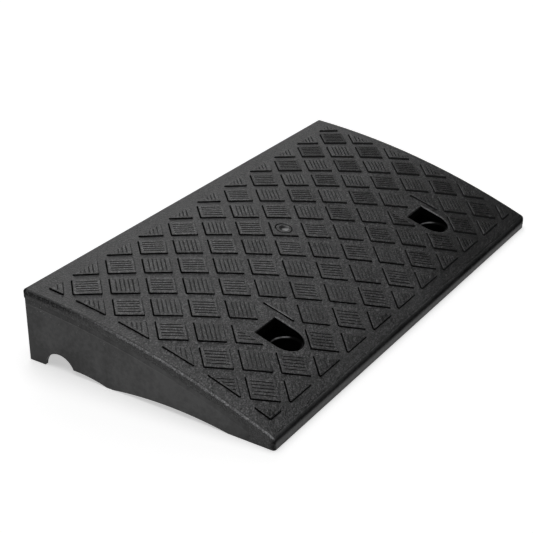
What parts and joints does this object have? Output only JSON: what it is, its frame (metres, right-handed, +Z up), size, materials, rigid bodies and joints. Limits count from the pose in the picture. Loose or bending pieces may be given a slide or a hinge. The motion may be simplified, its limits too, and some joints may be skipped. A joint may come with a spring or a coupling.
{
  "type": "kerb ramp",
  "caption": "Wedge-shaped rubber kerb ramp with a crowned diamond-tread deck, a ribbed hollow underside, drain notches and bolt-down recesses near its nose.",
  "frame": {"origin": "on the ground under the middle of the ramp's outline", "axes": "+X along the kerb, +Y towards the kerb (the high side), +Z up"},
  "size_m": [0.49, 0.256, 0.0695],
  "materials": {
    "moulding": "matte, fine sandy grain",
    "tread": "satin, grooved",
    "bush": "black coated steel, satin"
  },
  "bodies": {
    "root": {"deck_plate": "moulding", "left_side_wall": "moulding", "right_side_wall": "moulding", "rear_wall": "moulding", "cross_rib_1": "moulding", "cross_rib_2": "moulding", "cross_rib_3": "moulding", "cross_rib_4": "moulding", "cross_rib_5": "moulding", "cross_rib_6": "moulding", "cross_rib_7": "moulding", "cross_rib_8": "moulding", "cross_rib_9": "moulding", "long_rib_1": "moulding", "long_rib_2": "moulding", "long_rib_3": "moulding", "left_fixing_cup": "moulding", "right_fixing_cup": "moulding", "tread_row_01": "tread", "tread_row_02": "tread", "tread_row_03": "tread", "tread_row_04": "tread", "tread_row_05": "tread", "tread_row_06": "tread", "tread_row_07": "tread", "tread_row_08": "tread", "tread_row_09": "tread", "tread_row_10": "tread", "tread_row_11": "tread", "left_fixing_bush": "bush", "right_fixing_bush": "bush"}
  },
  "joints": []
}
